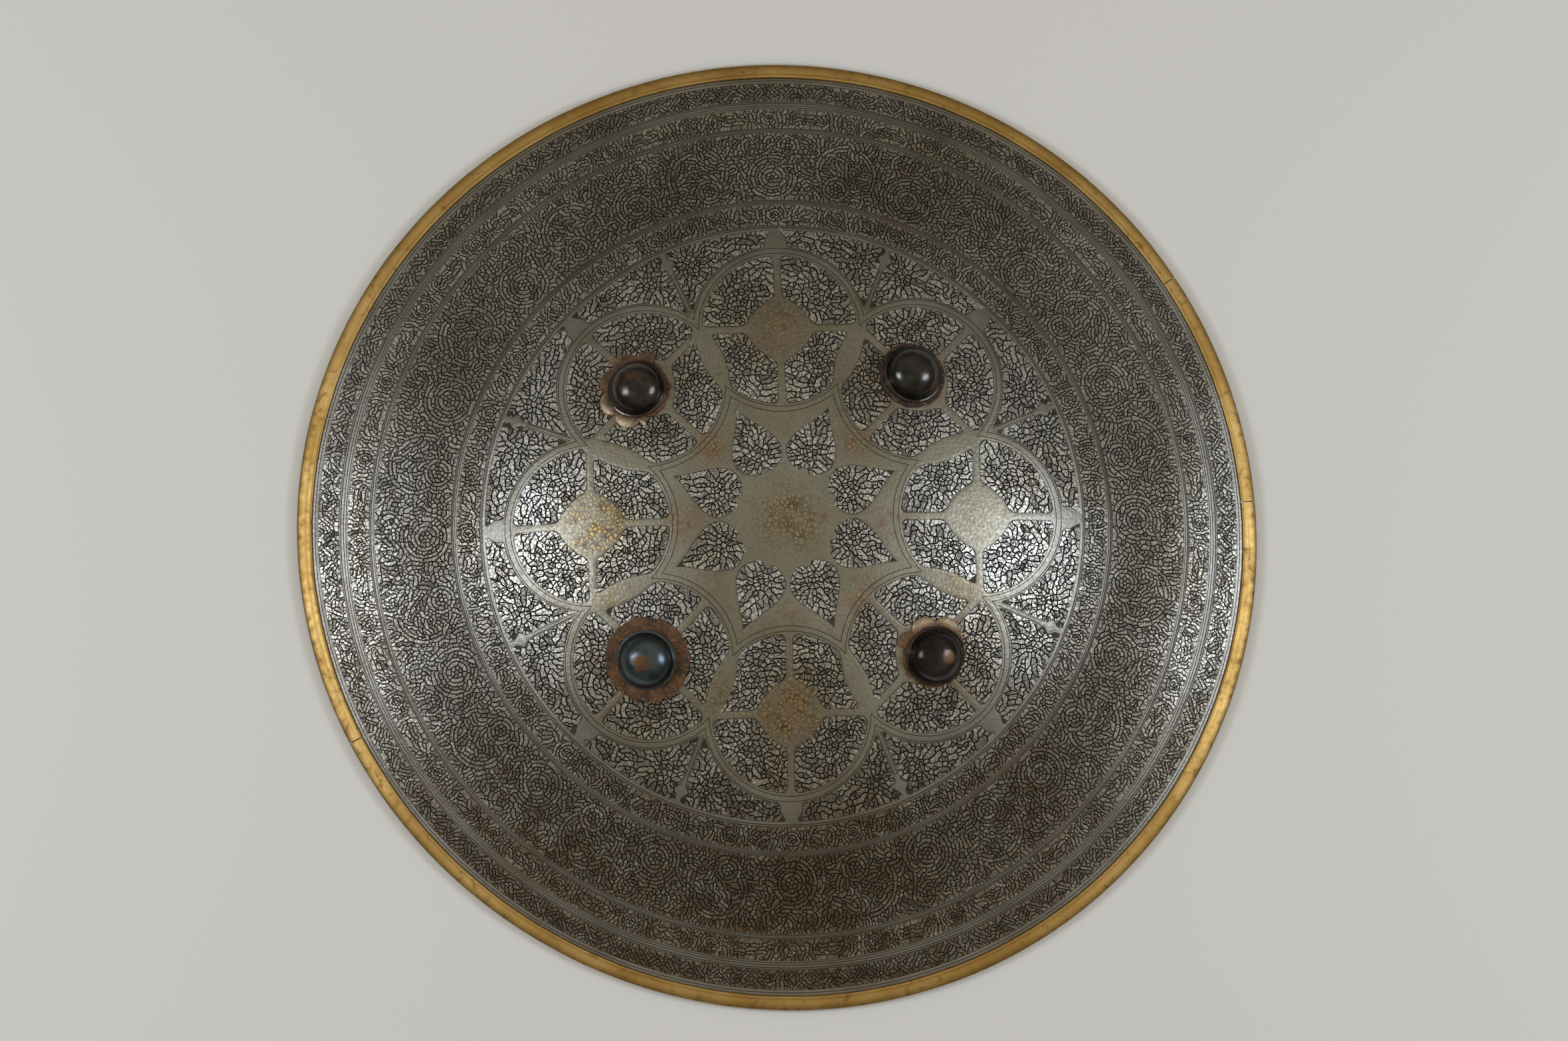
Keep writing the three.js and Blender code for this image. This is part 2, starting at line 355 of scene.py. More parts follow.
def spandrels(x, y):
    """The corners outside the roundels, split by a stem that ends in a plain diamond."""
    reach = np.hypot(x, y)
    shape = both(reach - SPANDREL_OUT, 83.0 - reach)
    for angle, along, across in rays(x, y):
        shape = both(shape, ROUNDEL + 0.7 - roundel_distance(x, y, angle), 1.0)
        cap = 1.7 + np.minimum(SPANDREL_OUT - along, 4.0) * 0.6 - np.abs(across)
        shape = np.where(along > 0, both(shape, cap, 1.0), shape)
    for _, along, across in rays(x, y, 22.5):
        stem = 0.9 - np.abs(across)
        diamond = 3.0 - np.abs(along - 109.3) - np.abs(across)
        shape = np.where(along > 0, np.maximum(shape, np.maximum(stem, diamond)), shape)
    return shape


def cut_ground(x, y):
    reach = np.hypot(x, y)
    found = np.minimum(lobes(x, y), np.minimum(palmettes(x, y), spandrels(x, y)))
    for low, high in BANDS:
        found = np.minimum(found, np.abs(reach - (low + high) / 2) - (high - low) / 2)
    return found


print("ground at the centre", cut_ground(np.array([0.0]), np.array([0.0])).round(1))

# %% [markdown]
# ## The finishes
# Everything on this shield is old metal: steel dark from handling and old oil, black in its cuts and
# rubbed brighter on its leaves, rusted iron, and brass cleaned by hand.

# %% Nodes that several finishes share
def new_finish(name):
    """A new material, its shader, and the place on the object that its patterns read."""
    made = bpy.data.materials.new(name)
    made.use_nodes = True
    where = node(made.node_tree, "TexCoord").outputs["Object"]
    return made, made.node_tree.nodes["Principled BSDF"], where


def noise(where, size_mm, detail=4.0, rough=0.55):
    """Cloudy noise whose patches are about this many millimetres across."""
    settings = {"Scale": 1 / (size_mm * MM), "Detail": detail, "Roughness": rough}
    return node(where, "TexNoise", settings, Vector=where).outputs["Fac"]


def cracks(where, size_mm):
    """How far a point is from the edges of cells of this size."""
    settings = {"feature": "DISTANCE_TO_EDGE", "Scale": 1 / (size_mm * MM)}
    return node(where, "TexVoronoi", settings, Vector=where).outputs["Distance"]


def between(value, low, high, new_low=0.0, new_high=1.0):
    settings = {"From Min": low, "From Max": high, "To Min": new_low, "To Max": new_high}
    return node(value, "MapRange", settings, Value=value).outputs["Result"]


def blend(share, first, second):
    """Mixes two colours, each a hex value or a socket, by a share that is a socket."""
    return node(share, "Mix", {"data_type": "RGBA", 6: first, 7: second}, Factor=share).outputs[2]


def plus(first, second, operation="ADD"):
    return node(first, "Math", {"operation": operation, 0: first, 1: second}).outputs[0]


def times(first, second):
    return plus(first, second, "MULTIPLY")


def length(vector):
    return node(vector, "VectorMath", {"operation": "LENGTH"}, Vector=vector).outputs["Value"]


def reach_of(where):
    """How far a point is from the axis of the shield."""
    return length(node(where, "VectorMath", {"operation": "MULTIPLY", 1: (1, 1, 0)}, Vector=where).outputs[0])


def stored(where, name):
    return node(where, "Attribute", {"attribute_name": name}).outputs["Fac"]


def wear(shader, colour, rough, metal=1.0, heights=None, depth_mm=0.0):
    """Sets what a finish sets: its colour, roughness, share of metal, and fine bumps."""
    for name, value in (("Base Color", colour), ("Roughness", rough), ("Metallic", metal)):
        feed(shader.inputs[name], value)
    if heights:
        bump = node(heights, "Bump", {"Distance": depth_mm * MM, "Strength": 1.0}, Height=heights)
        feed(shader.inputs["Normal"], bump.outputs["Normal"])


# %% [markdown]
# ### Engraved and blackened steel
# Mild steel, raised with a hammer, then chased. The plain field keeps a matte tan skin, and the
# ground under the leaves holds black oxide. Traces of gold and spots of rust lie on the field. The
# numbers stored on the bowl say which is which.

# %% Steel of the bowl
bowl_steel, shader, where = new_finish("chased_steel_blackened_ground")
cut = stored(where, "ground")
cloud = noise(where, 38, 5)
grain = noise(where, 1.1, 3)
field = blend(between(cloud, 0.35, 0.68), "918E80", "7B7566")
outer = between(reach_of(where), 84 * MM, 112 * MM)
field = blend(between(grain, 0.46, 0.72, 0.0, 0.45), field, "4E4838")
field = blend(outer, field, blend(between(cloud, 0.4, 0.66), "8E8C84", "746D62"))
cells = cracks(where, 1.7)
gilt = times(stored(where, "gilt"), between(noise(where, 6, 5), 0.3, 0.62))
gold = blend(between(cells, 0.06, 0.2), "3A3122", blend(grain, "B59A5E", "9C7A45"))
field = blend(gilt, field, gold)
rusty = times(stored(where, "rust"), between(noise(where, 4, 5), 0.4, 0.62))
rust = blend(grain, "49301C", "8C6238")
field = blend(rusty, field, rust)
black = blend(between(cloud, 0.4, 0.65), "45423A", "44392C")
sunk = between(cut, -0.12, 0.1, 1.0, 0.0)
dull = plus(times(sunk, 0.16), between(grain, 0.3, 0.7, 0.34, 0.46))
dull = plus(dull, times(rusty, 0.3))
metal = between(rusty, 0, 1, 0.95, 0.25)
wear(shader, blend(sunk, field, black), dull, metal, plus(grain, times(cells, 1.5)), 0.05)

# %% [markdown]
# ### Rubbed steel of the leaves
# The same steel, lighter and smoother, because cleaning cloths reach the tops. Thin veins run over
# them. Brown patina lies over the lower third, and the tone wanders in patches as wide as a hand.

# %% Steel of the relief
leaf_steel, shader, where = new_finish("rubbed_steel_relief")
cloud = noise(where, 45, 4)
spots = noise(where, 7, 4)
low_side = between(node(where, "SeparateXYZ", Vector=where).outputs["Y"], -0.05, -0.16)
crown = between(reach_of(where), 108 * MM, 116 * MM)
tone = blend(crown, "D3D3CC", "C6C2B7")
tone = blend(between(cloud, 0.38, 0.64), tone, blend(crown, "B5AE9F", "AAA190"))
brown = blend(between(spots, 0.35, 0.7), "A08C75", "836C55")
share = times(low_side, between(spots, 0.3, 0.6, 0.25, 0.85))
tone = blend(share, tone, brown)
edge = between(reach_of(where), 166 * MM, 171 * MM, 0.0, 0.3)
tone = blend(edge, tone, "4A463E")
stain = times(stored(where, "rust"), between(spots, 0.4, 0.6))
tone = blend(stain, tone, "74522F")
tone = blend(times(stored(where, "gilt"), 0.5), tone, "A88A4C")
wavy = node(where, "TexNoise", {"Scale": 1 / (3.0 * MM), "Detail": 2.0}, Vector=where).outputs["Color"]
wavy = node(where, "VectorMath", {"operation": "SCALE", "Scale": 1.6 * MM}, Vector=wavy).outputs[0]
streaks = node(where, "VectorMath", {"operation": "ADD", 0: where, 1: wavy}).outputs[0]
vein = between(cracks(streaks, 1.5), 0.03, 0.13, 0.78, 0.0)
tone = blend(vein, tone, "2A2620")
tone = blend(between(stored(where, "tint"), 0, 1, 0.0, 0.62), tone, "4A463E")
tone = blend(between(stored(where, "rubbed"), 0.86, 0.99), "1D1B16", tone)
dull = between(noise(where, 2.5, 3), 0.3, 0.7, 0.3, 0.42)
dull = plus(dull, times(stored(where, "tint"), 0.12))
wear(shader, tone, plus(dull, times(vein, 0.3)), 1.0, noise(where, 0.8, 2), 0.01)

# %% Blackened cuts: the burin's line, filled with oxide and old oil, so it stays dark and dull
cut_steel, shader, where = new_finish("blackened_engraved_line")
wear(shader, blend(noise(where, 6, 3), "1C1A16", "33291F"), 0.6, 0.6)

# %% Hammered steel inside the bowl: the same sheet, left plain, with the hammer's shallow marks
inside_steel, shader, where = new_finish("hammered_steel_inside")
cloud = noise(where, 30, 5)
marks = node(where, "TexVoronoi", {"feature": "SMOOTH_F1", "Scale": 1 / (13 * MM), "Smoothness": 0.8},
             Vector=where).outputs["Distance"]
speck = noise(where, 2.2, 5)
tone = blend(between(cloud, 0.35, 0.65), "6A655C", "4C4339")
tone = blend(between(speck, 0.6, 0.75), tone, "553521")
wear(shader, tone, between(speck, 0.3, 0.7, 0.42, 0.6), 0.9, marks, 0.5)

# %% [markdown]
# ### Brass, cleaned by hand
# Rolled brass strip, dressed down with a mallet and rubbed bright along its top. Tarnish keeps to
# the outside and to the small dents, which turns it brown and a little green.

# %% Brass of the binding
brass, shader, where = new_finish("hand_polished_brass")
cloud = noise(where, 26, 5)
fine = noise(where, 3.0, 5)
tone = blend(between(cloud, 0.35, 0.66), "C5A364", "A58247")
tone = blend(between(fine, 0.56, 0.72), tone, "8F6E38")
tarnish = times(stored(where, "tarnish"), between(fine, 0.3, 0.6, 0.55, 1.0))
tone = blend(tarnish, tone, "6E5529")
dull = plus(between(fine, 0.3, 0.7, 0.4, 0.54), times(tarnish, 0.15))
wear(shader, tone, dull, 1.0, plus(noise(where, 9, 3), times(fine, 0.3)), 0.12)


# %% [markdown]
# ### Burnished boss steel and rusted iron
# The bosses are darker and were burnished to a mirror that old oil has dimmed. Rust breaks through
# on their crowns. The washers under them rusted hardest, because wet stood there.

# %% Steel of the bosses
def boss_finish(name, dark, light, soft, spot_place, spot_reach):
    made, shader, where = new_finish(name)
    cloud = noise(where, 9, 5)
    fine = noise(where, 1.6, 5)
    tone = blend(between(cloud, 0.36, 0.66), dark, light)
    centred = node(where, "Mapping", {"Location": tuple(-v for v in spot_place)}, Vector=where)
    wander = plus(length(centred.outputs[0]), between(fine, 0.2, 0.8, -1.6 * MM, 1.6 * MM))
    spot = between(wander, (spot_reach - 1.8) * MM, spot_reach * MM, 1.0, 0.0)
    tone = blend(spot, tone, blend(fine, "4E3828", "765A45"))
    tone = blend(between(fine, 0.62, 0.72), tone, "2B1E17")
    dull = plus(between(fine, 0.3, 0.7, soft, soft + 0.12), times(spot, 0.3))
    wear(shader, tone, dull, 1.0, plus(fine, cloud), 0.06)
    return made


# %% Rusted iron of the washers and roves
def rust_finish(name, dark, light, bare):
    made, shader, where = new_finish(name)
    cloud = noise(where, 5, 5)
    fine = noise(where, 0.9, 5)
    tone = blend(between(cloud, 0.35, 0.65), dark, light)
    tone = blend(between(fine, 0.55, 0.7), tone, "94683C")
    rubbed = times(stored(where, "bare"), between(cloud, 0.35, 0.5, 0.5, 1.0))
    tone = blend(rubbed, tone, bare)
    dull, metal = between(rubbed, 0, 1, 0.72, 0.4), between(rubbed, 0, 1, 0.3, 0.95)
    wear(shader, tone, dull, metal, plus(fine, cloud), 0.25)
    return made


iron = rust_finish("rusted_iron", "35261A", "6B482A", "A8967C")
dark_iron = rust_finish("dark_rusted_iron", "1F1B18", "3C2C22", "6B625A")
print("finishes", sorted(m.name for m in bpy.data.materials))

# %% [markdown]
# ## The bowl
# A disc of steel, its ground cut back an eighth of a millimetre, then raised. The disc is one
# section, spun. A pair of rings marks each edge of a band, so that the step is crisp.

# %% Places of the bosses, worked back from the roves behind them
CORNERS = ("northwest", "northeast", "southwest", "southeast")
ROVE_MIDDLE = -2.7  # of the rove, on the axis of the boss, below the steel's outside


def middle_of(node_name):
    """Angle and reach, in mm, of the middle of a node's box."""
    low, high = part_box(node_name)
    middle = (low + high) / 2 / MM
    return atan2(middle.y, middle.x), hypot(middle.x, middle.y)


def seat_of(corner):
    """Angle and reach of a boss on the flat disc."""
    angle, out = middle_of(f"rove_{corner}")
    reach = out
    for _ in range(4):
        reach = (out - ROVE_MIDDLE * sin(slope(reach))) / float(roundness(angle, reach))
    return angle, float(reach)


SEATS = {corner: seat_of(corner) for corner in CORNERS}
print({c: (round(degrees(a), 1), round(r, 1)) for c, (a, r) in SEATS.items()})


# %% Where gold, rust and engraved lines lie
def patches(x, y, places):
    """Soft round patches, each (x, y, radius, strength)."""
    found = np.zeros(np.shape(x))
    for px, py, radius, strength in places:
        found = np.maximum(found, strength * np.exp(-((x - px) ** 2 + (y - py) ** 2) / radius**2))
    return found


def at_compass(reach, bearing, radius, strength):
    return (*polar(reach, TURN + radians(bearing)), radius, strength)


GILT = [(2, 0, 10, 1.0), at_compass(70, 180, 15, 1.0), at_compass(72, 270, 13, 1.0),
        at_compass(72, 0, 12, 0.22), at_compass(74, 90, 12, 0.55)]
GILT += [at_compass(40, 45 * k, 5.5, 0.75) for k in (1, 3, 4, 7)]
GILT += [at_compass(72, 22.5 + 45 * k, 6, 0.6) for k in (4, 5, 7)]
RUST = [(14, -11, 4.5, 1.0), (14, -0.5, 3.0, 1.0), at_compass(72, 90, 8, 0.8), at_compass(74, 270, 12, 0.6)]
RUST += [at_compass(39, 45 * k, 7, 0.7) for k in range(8)]
RUST += [(*polar(r, a), 17, 0.95) for a, r in SEATS.values()]
RUST += [(30, -40, 12, 0.7), (-48, 52, 14, 0.6), (35, 128, 20, 0.6), (-80, -120, 30, 0.6), (90, -95, 26, 0.6),
         (10, -150, 60, 0.5), (-120, -90, 40, 0.4)]


# %% Spin the disc
ROUND = 560
rings = [0.0, 4.0, 8.0] + list(np.arange(11.0, SPANDREL_OUT, 1.0))
for low, high in BANDS:
    steps = max(2, round((high - low) / 4))
    rings += [low - 0.15, *np.linspace(low + 0.15, high - 0.15, steps + 1), high + 0.15]
rings += [SPANDREL_OUT - 0.15, SPANDREL_OUT + 0.15, 179.0, STEEL_EDGE - 0.4]
section = [(r, 0) for r in sorted(rings)] + [(STEEL_EDGE, z) for z in (-0.35, -STEEL + 0.35)]
section += [(r, -STEEL) for r in (STEEL_EDGE - 0.4, 180, *range(170, 0, -12), 0)]
bowl_mesh = mesh_of(spun(section, ROUND), "bowl_engraved")

# %% Cut the ground back, store the distances, and raise the disc
GROUND_DEPTH = 0.12
flat = coordinates(bowl_mesh)
outside = flat[:, 2] > -0.01
x, y = flat[:, 0], flat[:, 1]
ground = np.where(outside, cut_ground(x, y), 50.0)
flat[:, 2] -= np.where(outside, GROUND_DEPTH * np.clip(0.5 - ground / 0.6, 0, 1), 0)
for name, values in (("ground", ground), ("gilt", patches(x, y, GILT)), ("rust", patches(x, y, RUST))):
    store(bowl_mesh, name, values)
corner = corners_of(bowl_mesh)
uv = flat[corner][:, :2] / RIM_RADIUS * 0.415 + 0.42  # the outside fills most of the map
starts = np.empty(len(bowl_mesh.polygons), np.int32)
bowl_mesh.polygons.foreach_get("loop_start", starts)
plain = np.minimum.reduceat(outside[corner].astype(int), starts) == 0
small = np.repeat(plain, np.diff(starts, append=len(corner)))
wider = 1 + 0.02 * outside[corner][small][:, None]
uv[small] = flat[corner][small][:, :2] * wider / 190 * 0.16 + 0.835  # the inside, a corner of it
bowl_mesh.uv_layers.new(name="OFBake").data.foreach_set("uv", uv.astype(np.float32).ravel())
set_coordinates(bowl_mesh, raised(flat))
bowl_piece = piece("bowl_engraved", bowl_mesh, bowl_steel, ["bowl"], sharp=50)
bowl_mesh.materials.append(inside_steel)
bowl_mesh.polygons.foreach_set("material_index", plain.astype(np.int32))
print("bowl", [round(v, 4) for v in bowl_piece.dimensions])

# %% [markdown]
# ## Engraved lines
# Thin blackened lines edge the roundels, the stems between them and the plain rings. Each is laid
# as a hair-thin strip: a flat curve with a low trapezoid for its section, raised with the disc. The
# stems of the bands aren't laid. The leaves beside them leave a cut along them.

# %% One function that lays strips
STRIP_HEIGHT = 0.03


def strip_section(width):
    """The trapezoid that a strip has for its section, as a flat curve."""
    shape = bpy.data.curves.new("section", "CURVE")
    shape.dimensions = "2D"
    line = shape.splines.new("POLY")
    line.points.add(3)
    corners = ((-width / 2, -0.1), (-width / 3, STRIP_HEIGHT), (width / 3, STRIP_HEIGHT), (width / 2, -0.1))
    for point, (sx, sz) in zip(line.points, corners):
        point.co = (sx, sz, 0, 1)
    return put("section", shape)


def strips(paths, width):
    """Lays a strip along each path of flat points, closed or open, and returns one flat mesh."""
    curve = bpy.data.curves.new("strips", "CURVE")
    curve.dimensions = "3D"
    curve.twist_mode = "Z_UP"
    curve.bevel_mode = "OBJECT"
    profile = strip_section(width)
    curve.bevel_object = profile
    for points, closed in paths:
        line = curve.splines.new("POLY")
        line.points.add(len(points) - 1)
        flat_points = np.zeros((len(points), 4), np.float32)
        flat_points[:, :2] = points
        flat_points[:, 3] = 1
        line.points.foreach_set("co", flat_points.ravel())
        line.use_cyclic_u = closed
    laid = put("strips", curve)
    view = bpy.context.evaluated_depsgraph_get()
    view.update()
    mesh = bpy.data.meshes.new_from_object(laid.evaluated_get(view))
    for used in (laid, profile):
        bpy.data.objects.remove(used)
    return mesh


def circle(cx, cy, radius, step=0.9):
    count = max(12, int(2 * pi * radius / step))
    t = np.linspace(0, 2 * pi, count, endpoint=False)
    return np.stack([cx + radius * np.cos(t), cy + radius * np.sin(t)], 1), True


def arc(cx, cy, radius, start, sweep, shrink=1.0, step=0.9):
    """An arc, or a spiral where shrink is not 1: the share of the radius left at its end."""
    count = max(6, int(abs(sweep) * radius / step))
    t = np.linspace(0, 1, count)
    size = radius * (1 + (shrink - 1) * t)
    return np.stack([cx + size * np.cos(start + sweep * t), cy + size * np.sin(start + sweep * t)], 1), False


def crossings(radius):
    """The two directions, from a roundel's middle, in which its circle meets the next one."""
    chord, middle = ROUNDEL_REACH * sin(pi / 8), ROUNDEL_REACH * cos(pi / 8)
    half = sqrt(radius**2 - chord**2)
    met = [polar(middle + way * half, pi / 8) for way in (1, -1)]
    return [atan2(my, mx - ROUNDEL_REACH) for mx, my in met]


# %% Lines round the roundels and rings, and the middles of the flowers
LOBE_EYE = 19.5  # from a roundel's middle to the middle of a lobe
cuts, eyes = [], []
for angle in eighths():
    cx, cy = polar(ROUNDEL_REACH, angle)
    for radius in (ROUNDEL + 0.1, ROUNDEL - BORDER + 0.5):
        outer, inner = crossings(radius)
        cuts += [arc(cx, cy, radius, angle - outer, 2 * outer),
                 arc(cx, cy, radius, angle + inner, 2 * (pi - inner))]
    for turn in (45, 135, 225, 315):
        lean = angle + radians(turn + (4 if turn in (45, 225) else -4))
        eyes.append((cx + LOBE_EYE * cos(lean), cy + LOBE_EYE * sin(lean), "rose"))
for angle in eighths(22.5):
    eyes.append((*polar(PANEL_FOOT + 7.2, angle), "fan"))
    for side in (-1, 1):
        eyes.append((*polar(105.5, angle + side * radians(4.6)), "fan"))
RING_LINES = [114.9, 125.2, 126.0, 156.3, 157.2, 166.6, 167.5, 168.6, 178.2]
cuts += [circle(0, 0, reach, 1.8) for reach in RING_LINES]
for angle in eighths(22.5):
    for side in (-1, 1):
        bend = side * radians(0.3)
        cuts.append((np.array([polar(r, angle + bend * 100 / r) for r in np.linspace(87, 105, 12)]), False))
print(len(cuts), "lines")

# %% [markdown]
# ## The stems of the bands
# The wide band has sixteen large scrolls with open ones between them. The two narrow bands carry a
# ring and dot thirty-two times, with a cartouche between each pair. The outermost is a zigzag.

# %% Stems
REPEATS, SCROLLS, ZIGZAGS = 32, 16, 96
stems, dots = [], []


def band_points(middle, angle, points):
    """Points given along and across a band at this angle, on the flat disc."""
    return np.array([polar(middle + across, angle + along / middle) for along, across in points])


def rounded_box(half_long, half_high, corners=6.0, count=28):
    """A box with rounded corners, as a superellipse."""
    t = np.linspace(0, 2 * pi, count, endpoint=False)
    c, s = np.cos(t), np.sin(t)
    power = 2 / corners
    return list(zip(half_long * np.sign(c) * np.abs(c) ** power, half_high * np.sign(s) * np.abs(s) ** power))


step = 2 * pi / REPEATS
for k in range(REPEATS):
    for (low, high), long_half in ((BANDS[0], 5.0), (BANDS[2], 7.8)):
        middle, half = (low + high) / 2, (high - low) / 2
        here = TURN + k * step
        cx, cy = polar(middle, here)
        stems.append(circle(cx, cy, 1.75, 0.7))
        dots.append((cx, cy))
        stems.append((band_points(middle, here, rounded_box(3.5, half - 0.75, 3.2)), True))
        there = here + step / 2
        stems.append((band_points(middle, there, rounded_box(long_half, half - 0.75, 5.0, 36)), True))
for k in range(SCROLLS):
    here = TURN + 2 * pi * k / SCROLLS
    cx, cy = polar(136.4, here)
    stems += [circle(cx, cy, 4.1), arc(cx, cy, 8.5, here - 0.5, 2 * pi - 0.7, 0.93)]
    eyes.append((cx, cy, "rose"))
    there = here + pi / SCROLLS
    hand = 1 if k % 2 else -1
    sx, sy = polar(133.2, there + hand * 0.012)
    stems.append(circle(sx, sy, 3.9))
    eyes.append((sx, sy, "rose"))
    bx, by = polar(140.6, there)
    stems.append(arc(bx, by, 12.2, there - hand * 2.0, hand * 4.3, 0.72))
    for side in (-1, 1):
        ox, oy = polar(150.4, here + side * 0.045)
        stems.append(arc(ox, oy, 3.4, here + side * 2.4, -side * 4.4, 0.8))
        eyes.append((ox, oy, "bud"))
        eyes.append((*polar(145.4, here + side * 0.093), "bud"))
        eyes.append((*polar(130.4, here + side * 0.086), "bud"))
zigzag = []
for k in range(2 * ZIGZAGS):
    zigzag.append(polar(170.2 if k % 2 else 176.4, TURN + pi * k / ZIGZAGS))
corners = np.array(zigzag)
halfway = (corners + np.roll(corners, -1, axis=0)) / 2
stems.append((np.stack([corners, halfway], 1).reshape(-1, 2), True))
print(len(stems), "stems,", len(eyes), "flower centres")

# %% [markdown]
# ## The foliage
# Inside the panels the steel is nearly all leaf, with only a thin blackened cut between one leaf and
# the next. So the ground is shared out. Every leaf gets a row of one to five middles, and keeps the
# ground nearer to them than to any other. Leaves stand in rings round a flower, lie along both sides
# of a stem, and turn round the nearest flower elsewhere. A triangulation of the middles gives the
# corners, and one inset cuts the groove round each leaf.

# %% A chart of the ground that keeps the leaves apart
CELL, HALF_CHART = 0.2, 188.0
CHART = int(2 * HALF_CHART / CELL)
axis = (np.arange(CHART) + 0.5) * CELL - HALF_CHART
taken = np.ones((CHART, CHART), bool)
for rows in np.array_split(np.arange(CHART), 16):
    gx, gy = np.meshgrid(axis, axis[rows])
    taken[rows] = cut_ground(gx, gy) > -0.62
print("ground cut back:", round((1 - taken.mean()) * (2 * HALF_CHART) ** 2 / 100), "cm2")
grid = np.arange(-1, 1.01, 0.12)
DISC = np.stack(np.meshgrid(grid, grid)).reshape(2, -1)
DISC = DISC[:, np.hypot(*DISC) <= 1]
middles, leaf_numbers = [], []


def leaf(x, y, turn, seeds, gap, apart, bow=0.0, whole=False):
    """Gives a leaf its row of middles, cut short where another leaf stands too close."""
    row = []
    for _ in range(seeds):
        if taken[int((y + HALF_CHART) / CELL), int((x + HALF_CHART) / CELL)]:
            break
        row.append((x, y))
        x, y, turn = x + gap * cos(turn), y + gap * sin(turn), turn + bow
    if not row or (whole and len(row) < seeds):
        return
    for px, py in row:
        columns = ((px + DISC[0] * apart + HALF_CHART) / CELL).astype(int)
        rows = ((py + DISC[1] * apart + HALF_CHART) / CELL).astype(int)
        taken[rows, columns] = True
    number = leaf_numbers[-1] + 1 if leaf_numbers else 0
    middles.extend(row)
    leaf_numbers.extend([number] * len(row))


def along_stem(points, closed, away, apart):
    """Long leaves on both sides of a stem, so that a cut follows it."""
    ring = np.vstack([points, points[:1]]) if closed else points
    far = np.concatenate([[0], np.cumsum(np.linalg.norm(np.diff(ring, axis=0), axis=1))])
    gap = apart * 0.9
    length = 4 * gap + apart
    for side in (-1, 1):
        for start in np.arange(side * 0.2 * apart + apart / 2, far[-1] - apart, length):
            t = start + gap * np.arange(5)
            t = t[t < far[-1]]
            x, y = np.interp(t, far, ring[:, 0]), np.interp(t, far, ring[:, 1])
            ahead = np.interp(t + 0.1, far, ring[:, 0]) - x, np.interp(t + 0.1, far, ring[:, 1]) - y
            turn = np.arctan2(ahead[1], ahead[0])
            x, y = x - side * away * np.sin(turn), y + side * away * np.cos(turn)
            if len(t) < 2:
                continue
            bend = (turn[-1] - turn[0] + pi) % (2 * pi) - pi
            step = hypot(x[1] - x[0], y[1] - y[0])
            leaf(x[0], y[0], atan2(y[1] - y[0], x[1] - x[0]), len(t), step, apart, bend / (len(t) - 1))


# Rings of a flower: how far out, how many petals, middles in each, and whether they lie across.
FLOWERS = {"rose": ((1.75, 6, 1, False), (3.6, 8, 2, True), (5.6, 12, 3, False)),
           "fan": ((1.7, 6, 1, False), (3.5, 9, 4, False), (9.6, 16, 3, False)),
           "bud": ((1.4, 6, 1, False), (2.8, 9, 2, False))}


def flower(x, y, turn, kind, scale):
    """A seed, then rings of petals, each ring turned by half a petal."""
    apart = 1.5 * scale
    leaf(x, y, 0, 1, 1, apart * 0.8)
    for number, (reach, petals, seeds, across) in enumerate(FLOWERS[kind]):
        for j in range(petals):
            a = turn + 2 * pi * (j + 0.5 * (number % 2)) / petals
            px, py = x + scale * reach * cos(a), y + scale * reach * sin(a)
            if across:
                px, py = px + 0.5 * scale * sin(a), py - 0.5 * scale * cos(a)
            facing, bow = (a + pi / 2, 0.0) if across else (a, 0.1)
            leaf(px, py, facing, seeds, 1.15 * scale, apart, bow)


# %% Leaves in their places
random.seed(11)
for x, y in dots:
    leaf(x, y, 0, 1, 1, 0.7)
for points, closed in stems:
    narrow = abs(hypot(*points[0]) - 140) > 17
    along_stem(points, closed, 0.6 if narrow else 0.75, 0.95 if narrow else 1.2)
for x, y, kind in eyes:
    near = hypot(x, y) < SPANDREL_OUT
    flower(x, y, random.uniform(0, 2), kind, 1.3 if near else 0.85)
print(len(middles), "middles set in place")

# %% Leaves in the ground that is left
eye_points = np.array([eye[:2] for eye in eyes])
fans = np.array([eye[2] == "fan" for eye in eyes])
rng = np.random.default_rng(29)
spacing = 0.42
grid = np.arange(-178, 178, spacing)
for seeds in (4, 3, 2, 1):
    gx, gy = (g.ravel() + rng.uniform(-0.5, 0.5, grid.size**2) * spacing for g in np.meshgrid(grid, grid))
    columns, rows = ((gx + HALF_CHART) / CELL).astype(int), ((gy + HALF_CHART) / CELL).astype(int)
    order = rng.permutation(np.flatnonzero(~taken[rows, columns]))[::2 if seeds > 2 else 1]
    gx, gy = gx[order], gy[order]
    nearest = np.zeros(len(gx), int)
    for part in np.array_split(np.arange(len(gx)), 80):
        away = (gx[part, None] - eye_points[:, 0]) ** 2 + (gy[part, None] - eye_points[:, 1]) ** 2
        nearest[part] = away.argmin(1)
    turns = np.arctan2(gy - eye_points[nearest, 1], gx - eye_points[nearest, 0])
    turns += np.where(fans[nearest], 0, np.where(nearest % 2, 0.9, -0.9))
    turns += rng.normal(0, 0.3, len(gx))
    aparts = np.where(np.hypot(gx, gy) < SPANDREL_OUT, 1.72, 1.02) * rng.uniform(0.9, 1.15, len(gx))
    bows = rng.uniform(0.15, 0.5, len(gx)) * rng.choice((-1, 1), len(gx))
    for x, y, turn, apart, bow in zip(gx, gy, turns, aparts, bows):
        leaf(x, y, turn, seeds, apart * 0.95, apart, bow, True)
middles, leaf_numbers = np.array(middles), np.array(leaf_numbers)
print(len(middles), "middles in", leaf_numbers[-1] + 1, "leaves")

# %% Share out the ground
STEP = 0.05


